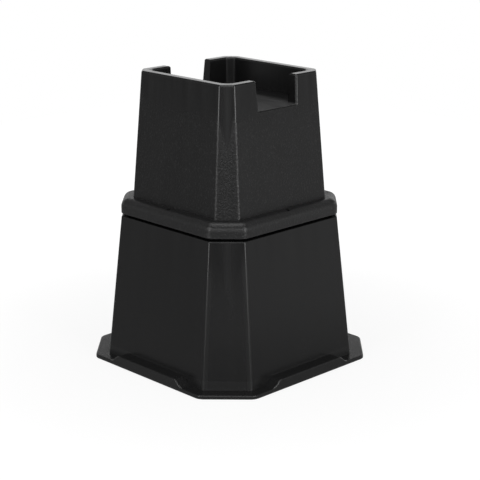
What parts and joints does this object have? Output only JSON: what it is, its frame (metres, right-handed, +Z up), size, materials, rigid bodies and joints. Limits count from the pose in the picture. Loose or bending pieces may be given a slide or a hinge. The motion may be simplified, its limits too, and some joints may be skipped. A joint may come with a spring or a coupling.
{
  "type": "bed riser",
  "caption": "Square tapered bed riser in black plastic: a notched-top riser stacked on a taller, wider one with a broad foot flange.",
  "frame": {"origin": "middle of the base, on the floor", "axes": "+Z up through both risers, +X and -X towards the notches of the socket, +Y and -Y towards the plain walls"},
  "size_m": [0.157, 0.157, 0.198],
  "materials": {
    "black_plastic": "fine grained satin, moulded polypropylene"
  },
  "bodies": {
    "root": {"lower_riser": "black_plastic", "upper_riser": "black_plastic"}
  },
  "joints": []
}
